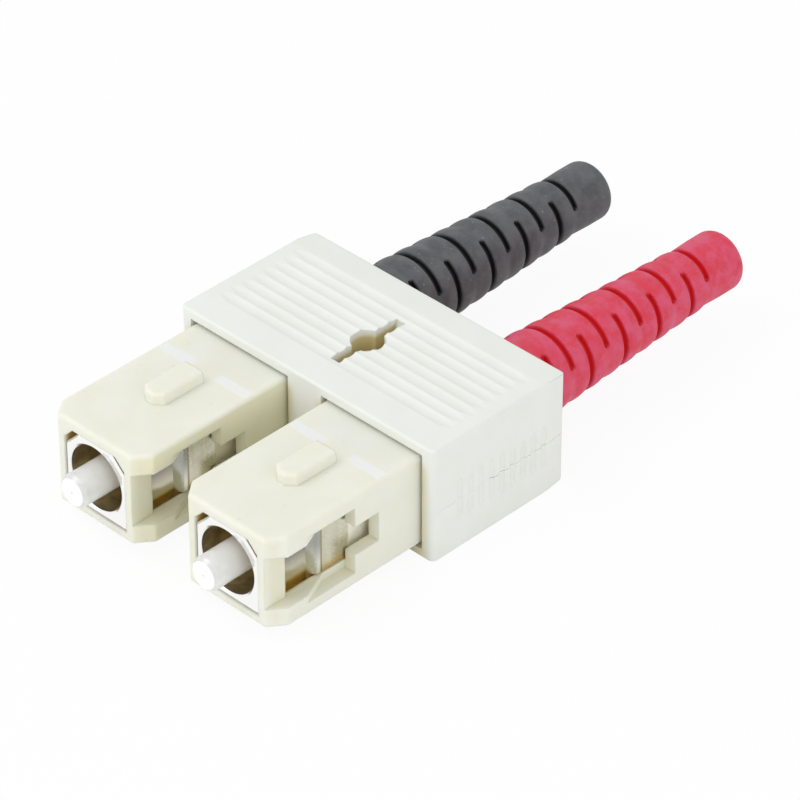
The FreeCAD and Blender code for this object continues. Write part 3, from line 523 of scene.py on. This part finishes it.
def wound_spring(middle):
    """A ring of points across the wire, spun half a turn flat, then climbing, then flat again."""
    shape = bmesh.new()
    start = middle + Vector((coil_radius, spring_low.y + WIRE_RADIUS * MM, 0))
    bmesh.ops.create_circle(
        shape, segments=WIRE_SIDES, radius=WIRE_RADIUS * MM, matrix=Matrix.Translation(start))
    wire = shape.verts[:] + shape.edges[:]
    for turns, rise in ((FLAT_TURNS, 0.0), (OPEN_TURNS, climb), (FLAT_TURNS, 0.0)):
        swept = bmesh.ops.spin(
            shape, geom=wire, cent=middle, axis=(0, 1, 0), dvec=(0, rise, 0),
            angle=2 * math.pi * turns, steps=round(STEPS_IN_TURN * turns))
        wire = swept["geom_last"]
    ends = [edge for edge in shape.edges if edge.is_boundary]
    bmesh.ops.holes_fill(shape, edges=ends, sides=0)
    bmesh.ops.recalc_face_normals(shape, faces=shape.faces)
    return shape


# %% A spring for each plug
for side_name, side in SIDES:
    plug_axis = Vector((axis_x * side, 0, axis_z))
    spring = as_object(wound_spring(plug_axis), f"{side_name}_wound_spring")
    spring.data.shade_smooth()
    slide = next(j for j in frame["joints"] if j["name"] == f"{side_name}_ferrule_slide")
    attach(spring, f"{side_name}_plug")
    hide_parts(f"{side_name}_spring")
    1 - slide["range_m"][1] / spring_length
    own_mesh(spring)
    print(f"{spring.name}: {len(spring.data.polygons)} faces, {spring_length / MM:.2f} mm long")

# %% [markdown]
# ## Metal inside the plugs
# Flange, stop body, crimp sleeve and spring sit inside and show only when someone takes a section
# or looks down the bore. Turned parts carry rings from the tool and drawn wire has streaks, so each
# gets its own direction of fine lines; apart from that they share one recipe.


# %% One recipe for turned, drawn and pressed metal
def bright_metal(name, bright, dull, rough, lines):
    """Mottled metal with fine lines, drawn out along each axis whose share is small."""
    finish = Finish(name)
    tone = finish.noise(0.8, detail=3.0)
    mark = finish.noise(0.05, rough=0.6, where=finish.stretched(*lines))
    finish.set(
        Base_Color=finish.blend(tone.rise(*MOTTLE), bright, dull),
        Metallic=1.0,
        Roughness=rough + mark * 0.14,
        Normal=finish.relief(
            mark, depth_mm=0.004, strength=0.5, normal=finish.rounded_edges(0.05)))
    return finish


turned = bright_metal(
    "turned_brass", bright=linear(206, 196, 170), dull=linear(188, 176, 148), rough=0.2,
    lines=(0.1, 1.0, 0.1))
drawn = bright_metal(
    "spring_wire", bright=linear(196, 196, 196), dull=linear(168, 168, 170), rough=0.24,
    lines=(0.2, 1.0, 0.2))
pressed = bright_metal(
    "crimp_metal", bright=linear(205, 206, 208), dull=linear(186, 187, 190), rough=0.3,
    lines=(1.0, 0.1, 1.0))
wear(turned, "left_ferrule_flange", "right_ferrule_flange", "left_stop_body", "right_stop_body")
wear(drawn, "left_wound_spring", "right_wound_spring", "left_spring", "right_spring")
wear(pressed, "left_crimp_sleeve", "right_crimp_sleeve")

# %% [markdown]
# ## The fibre tube
# A thin tube of milky plastic leads the fibre from the ferrule back through the spring. It is
# extruded, so its surface has long faint waves, which are noise drawn out along the tube.

# %% Milky tube
milky = Finish("milky_tube")
waves = milky.noise(0.3, where=milky.stretched(y=0.08))
milky.set(
    Base_Color=milky.blend(waves.rise(*MOTTLE), linear(240, 240, 238), linear(228, 229, 228)),
    Roughness=0.25 + waves * 0.12,
    Normal=milky.relief(waves, depth_mm=0.004, strength=0.4))
wear(milky, "left_fibre_tube", "right_fibre_tube")

# %% [markdown]
# ## The boots as moulded rubber
# A boot is a soft sleeve with slots let in from two sides, turned about a quarter from each station
# to the next, so that it bends evenly with the cord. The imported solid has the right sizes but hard
# edges; rubber has none. Cutting boxes out of a spun sleeve and bevelling the cut edges would break
# where a lip gets thin. So the wall's profile is spun in rows that crowd together at the slots, and
# then the slots are pressed in: each point of the skin moves towards the axis by a depth that goes
# by its distance to the slot's outline, with a quarter round at the lip and a steep wall below it.

# %% Sizes of a boot, in millimetres behind the clip
SLOTS, FIRST_SLOT, SLOT_PITCH = 10, 2.18, 1.84
FRONT_RADIUS, REAR_RADIUS, BULGE, BULGE_POWER = 3.07, 2.233, 0.11, 1.1
SLOT_WIDTH, SLOT_DEPTH, SLOT_FLOOR, SLOT_LIP, SLOT_WALL = 0.54, 0.5, 1.72, 0.09, 0.05
SLOT_HALF_TURN = math.radians(58)
SLOT_MIDDLES = (math.radians(3), math.radians(79))
LAST_SLOT = FIRST_SLOT + SLOT_PITCH * (SLOTS - 1)
BORE, END_RADIUS, END_ROUND, END_ROW = 1.6, 2.3, 0.75, 0.5
HEAD_REAR, HEAD_LENGTH, SKIRT_RADIUS, SKIRT_LENGTH = -1.58, 1.05, 2.8, 3.8
SKIRT_BORE, BORE_STEP, BORE_SLOPE = 2.35, -3.07, 0.75
SPIN_STEPS, ROUND_STEPS, RING_ROWS = 240, 8, 6
FRONT_ROWS = (HEAD_REAR + 0.01, -0.8, 0.0, 0.5, 1.0, 1.5)
LIP_ROWS = (-0.07, -0.045, -0.02, 0.0, 0.012, 0.03, 0.055, SLOT_LIP)
boot_length = (boot_high.y - clip_rear_y) / MM
head_radius = (boot_high.x - boot_low.x) / 2 / MM
print("boot length behind the clip: %.2f mm" % boot_length)


# %% Profile of a boot
def skin_radius(place):
    """Tapered skin with a low swell on each ring between two slots."""
    station = (place - FIRST_SLOT) / SLOT_PITCH
    if station > SLOTS - 1:
        return REAR_RADIUS + (END_RADIUS - REAR_RADIUS) * min(1.0, station - SLOTS + 1)
    taper = (FRONT_RADIUS - REAR_RADIUS) / (SLOTS - 1)
    swell = BULGE * abs(math.sin(math.pi * station)) ** BULGE_POWER
    return FRONT_RADIUS - taper * station + swell


def skin_places():
    """Rows along the skin: close together at the lips of the slots, wider on the rings."""
    places = list(FRONT_ROWS)
    for slot in range(SLOTS):
        middle = FIRST_SLOT + SLOT_PITCH * slot
        offsets = [SLOT_WIDTH / 2 + row for row in LIP_ROWS]
        places += [middle - offset for offset in reversed(offsets)] + [middle]
        places += [middle + offset for offset in offsets]
        start, room = middle + offsets[-1], SLOT_PITCH - 2 * offsets[-1]
        places += [start + room * k / RING_ROWS for k in range(1, RING_ROWS)]
    places += [LAST_SLOT + SLOT_PITCH, boot_length - END_ROUND - END_ROW]
    return places


def boot_profile():
    """(radius, place behind the clip) once round the wall, from the front of the bore outwards."""
    head_front = HEAD_REAR - HEAD_LENGTH
    skirt_front = head_front - SKIRT_LENGTH
    points = [(SKIRT_BORE, skirt_front), (SKIRT_RADIUS, skirt_front), (SKIRT_RADIUS, head_front)]
    points += [(head_radius, head_front), (head_radius, HEAD_REAR)]
    points += [(skin_radius(place), place) for place in skin_places()]
    for k in range(ROUND_STEPS + 1):
        turn = math.pi / 2 * k / ROUND_STEPS
        points.append((
            END_RADIUS - END_ROUND * (1 - math.cos(turn)),
            boot_length - END_ROUND * (1 - math.sin(turn))))
    points += [(BORE, boot_length), (BORE, BORE_STEP), (SKIRT_BORE, BORE_STEP - BORE_SLOPE)]
    return points


print("points in the boot's profile:", len(boot_profile()))


# %% Spin the profile
MERGE_DISTANCE = 1e-7


def spun_boot(middle):
    """The boot without its slots, about a plug axis."""
    shape = bmesh.new()
    ring = [
        shape.verts.new(middle + Vector((radius * MM, clip_rear_y + place * MM, 0)))
        for radius, place in boot_profile()]
    edges = [shape.edges.new((ring[k - 1], ring[k])) for k in range(len(ring))]
    bmesh.ops.spin(
        shape, geom=ring + edges, cent=middle, axis=(0, 1, 0), angle=2 * math.pi,
        steps=SPIN_STEPS, use_merge=True)
    bmesh.ops.remove_doubles(shape, verts=shape.verts, dist=MERGE_DISTANCE)
    bmesh.ops.recalc_face_normals(shape, faces=shape.faces)
    return shape


# %% Press the slots into the skin
def slot_depth(edge, full):
    """Depth at a distance from a slot's outline: a quarter round outside it, a wall inside."""
    if edge >= SLOT_LIP:
        return 0.0
    if edge > 0:
        return SLOT_LIP - math.sqrt(SLOT_LIP ** 2 - (SLOT_LIP - edge) ** 2)
    return SLOT_LIP + (full - SLOT_LIP) * min(1.0, -edge / SLOT_WALL)


def press_slots(shape, middle):
    """Move the skin inwards at the slots; the bore and the head stay as they are."""
    for vert in shape.verts:
        out = Vector((vert.co.x - middle.x, 0, vert.co.z - middle.z))
        radius = out.length / MM
        place = (vert.co.y - clip_rear_y) / MM
        slot = round((place - FIRST_SLOT) / SLOT_PITCH)
        if radius < SLOT_FLOOR or not 0 <= slot < SLOTS:
            continue
        turn = math.atan2(out.z, out.x) - SLOT_MIDDLES[slot % 2]
        turn = abs((turn + math.pi / 2) % math.pi - math.pi / 2)
        run = max(0.0, turn * radius - (SLOT_HALF_TURN * radius - SLOT_WIDTH / 2))
        edge = math.hypot(run, place - FIRST_SLOT - SLOT_PITCH * slot) - SLOT_WIDTH / 2
        full = min(SLOT_DEPTH, radius - SLOT_FLOOR)
        vert.co -= out.normalized() * slot_depth(edge, full) * MM


# %% A boot for each plug
for side_name, side in SIDES:
    plug_axis = Vector((axis_x * side, 0, axis_z))
    skin = spun_boot(plug_axis)
    press_slots(skin, plug_axis)
    boot = as_object(skin, f"{side_name}_rubber_boot")
    boot.data.shade_smooth()
    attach(boot, f"{side_name}_plug")
    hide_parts(f"{side_name}_boot")
    print(f"{boot.name}: {len(boot.data.polygons)} faces")

# %% [markdown]
# ## Rubber, black and red
# Both boots are the same soft compound in two colours. The outer skin is paler than the walls of
# the slots, which carry a painted tone: painted shade in the black boot and a painted glow of light
# through the rubber in the red one, so the slots look deeper than they are. The paler skin is a mask
# by the distance from the plug axis: it is on where a point lies on the tapered outer skin and off
# below it. Lint and mould dust cling to the skin in pale specks, which show most on the black one.

# %% Rubber with painted shade and glow in its slots
OUTER_SKIN_DEPTH, LEAST_WAIST = (-0.22, -0.02), 1.9


def rubber(name, skin, skin_pale, painted_slot_tone, lint, lint_share):
    """Clouded rubber whose outer skin is paler than the painted tone on the walls of its slots, with
    specks of lint on it.
    """
    finish = Finish(name)
    off_x = abs(finish.x) - axis_x / MM
    off_z = finish.z - axis_z / MM
    radius = (off_x * off_x + off_z * off_z) ** 0.5
    behind = finish.y - clip_rear_y / MM
    taper = (FRONT_RADIUS - REAR_RADIUS) / ((SLOTS - 1) * SLOT_PITCH)
    waist = (FRONT_RADIUS - (behind - FIRST_SLOT) * taper).at_least(LEAST_WAIST)
    outside = (radius - waist).rise(*OUTER_SKIN_DEPTH)
    cloud = finish.noise(1.3, detail=4.0, rough=0.6)
    fine = finish.noise(0.12, detail=3.0, rough=0.6)
    skin_tone = finish.blend((cloud * 0.75 + fine * 0.25).rise(0.36, 0.64), skin, skin_pale)
    fluff = finish.specks(0.3, lint_share) * outside
    # Below the outer skin, on the walls of the slots, the tone is painted: painted shade or painted
    # glow.
    tone = finish.blend(fluff * 0.45, finish.blend(outside, painted_slot_tone, skin_tone), lint)
    finish.set(
        Base_Color=tone,
        Roughness=0.5 + fine * 0.2 - cloud * 0.06,
        Normal=finish.relief(fine * 0.6 + cloud + fluff, depth_mm=0.03, strength=0.5),
        IOR=1.5, Specular_IOR_Level=0.4)
    return finish


# Slot walls: a painted shade in the black boot and a painted glow of light through the red one.
black = rubber(
    "soft_black", skin=linear(75, 77, 80), skin_pale=linear(94, 96, 99), painted_slot_tone=linear(18, 18, 18),
    lint=linear(150, 150, 146), lint_share=0.04)
red = rubber(
    "soft_red", skin=linear(212, 53, 73), skin_pale=linear(215, 81, 114), painted_slot_tone=linear(212, 23, 26),
    lint=linear(226, 130, 130), lint_share=0.02)
wear(black, "left_rubber_boot", "left_boot")
wear(red, "right_rubber_boot", "right_boot")

# %% [markdown]
# ## Floor and light
# The connector lies on a plain pale floor in a white tent: light comes from all sides, a little
# more from above and in front. The world gives the even part and three soft round lamps the rest.
# One lamp alone would leave the side away from it grey. For the camera, and for what mirrors show,
# world and floor are white by Light Path, so the background needs no extra light.

# %% A world that is white where it is seen
AMBIENT = 0.8


def seen_directly(wiring):
    """1 for rays that show the background: straight, mirrored or through something clear."""
    camera_ray = wiring.node("ShaderNodeLightPath", {}, {}, "Is Camera Ray")
    outputs = camera_ray.socket.node.outputs
    mirrored = Flow(wiring, outputs["Is Glossy Ray"])
    return camera_ray.at_least(mirrored).at_least(Flow(wiring, outputs["Is Transmission Ray"]))


world = bpy.data.worlds.new("white_tent")
bpy.context.scene.world = world
world.use_nodes = True
sky = Wiring(world.node_tree)
background = sky.tree.nodes["Background"]
sky.feed(background.inputs["Color"], (1.0, 1.0, 1.0))
sky.feed(background.inputs["Strength"], seen_directly(sky) * (1 - AMBIENT) + AMBIENT)
print(f"{world.name}: strength {AMBIENT} on the object, 1 where it is seen")

# %% Three round lamps: name, place and width in metres, watts
LAMPS = (
    ("front_left_box", (-0.2, -0.2, 0.42), 0.3, 0.5),
    ("front_box", (-0.05, -0.48, 0.14), 0.3, 0.3),
    ("right_box", (0.47, -0.1, 0.16), 0.3, 0.32))

for name, place, width, power in LAMPS:
    lamp = bpy.data.lights.new(name, "AREA")
    lamp.shape, lamp.size, lamp.energy = "DISK", width, power
    box = bpy.data.objects.new(name, lamp)
    box.location = place
    box.rotation_euler = (-Vector(place)).to_track_quat("-Z", "Y").to_euler()
    bpy.context.scene.collection.objects.link(box)
    print(f"{name}: {power} W, {Vector(place).length:.2f} m away")

# %% A floor just below the clip
FLOOR_HALF, FLOOR_DROP, FLOOR_GLOW = 1.5, 0.02, 0.93
FLOOR_GREY, FLOOR_PALE = (0.9, 0.9, 0.9), (0.92, 0.92, 0.92)

plate = bmesh.new()
just_below = Matrix.Translation((0, 0, -FLOOR_DROP * MM))
bmesh.ops.create_grid(plate, x_segments=1, y_segments=1, size=FLOOR_HALF, matrix=just_below)
floor = as_object(plate, "floor")
paper = Finish("pale_floor")
paper.set(
    Base_Color=paper.blend(paper.noise(6.0), FLOOR_GREY, FLOOR_PALE),
    Roughness=0.8, Specular_IOR_Level=0.1)
glow = paper.node("ShaderNodeEmission", {}, {"Color": (1.0, 1.0, 1.0), "Strength": 1.0})
surface = paper.node(
    "ShaderNodeMixShader", {},
    {0: seen_directly(paper) * FLOOR_GLOW, 1: Flow(paper, paper.shader.outputs[0]), 2: glow})
paper.feed(paper.tree.nodes["Material Output"].inputs[0], surface)
wear(paper, "floor")

# %% [markdown]
# ## Camera
# The picture looks down at the front right corner with a long lens. The turn, tilt, place and lens
# were found by fitting the standard sizes of the plugs to their corners in the picture.

# %% Long lens at the front right
AZIMUTH, ELEVATION = math.radians(44.502), math.radians(36.474)
CAMERA_PLACE = Vector((191.13, -191.735, 204.18)) * MM
SENSOR_WIDTH, FOCAL_LENGTH = 36.0, 220.26
NEAREST, FARTHEST = 0.01, 10.0

back = Vector((
    math.sin(AZIMUTH) * math.cos(ELEVATION), -math.cos(AZIMUTH) * math.cos(ELEVATION),
    math.sin(ELEVATION)))
lens = bpy.data.cameras.new("long_lens")
lens.sensor_width, lens.lens = SENSOR_WIDTH, FOCAL_LENGTH
lens.clip_start, lens.clip_end = NEAREST, FARTHEST
camera = bpy.data.objects.new("camera", lens)
camera.location = CAMERA_PLACE
camera.rotation_euler = (-back).to_track_quat("-Z", "Y").to_euler()
bpy.context.scene.collection.objects.link(camera)
bpy.context.scene.camera = camera
bpy.context.scene.view_settings.view_transform = "Standard"
print("camera: %.0f mm lens, %.0f mm away" % (FOCAL_LENGTH, CAMERA_PLACE.length / MM))
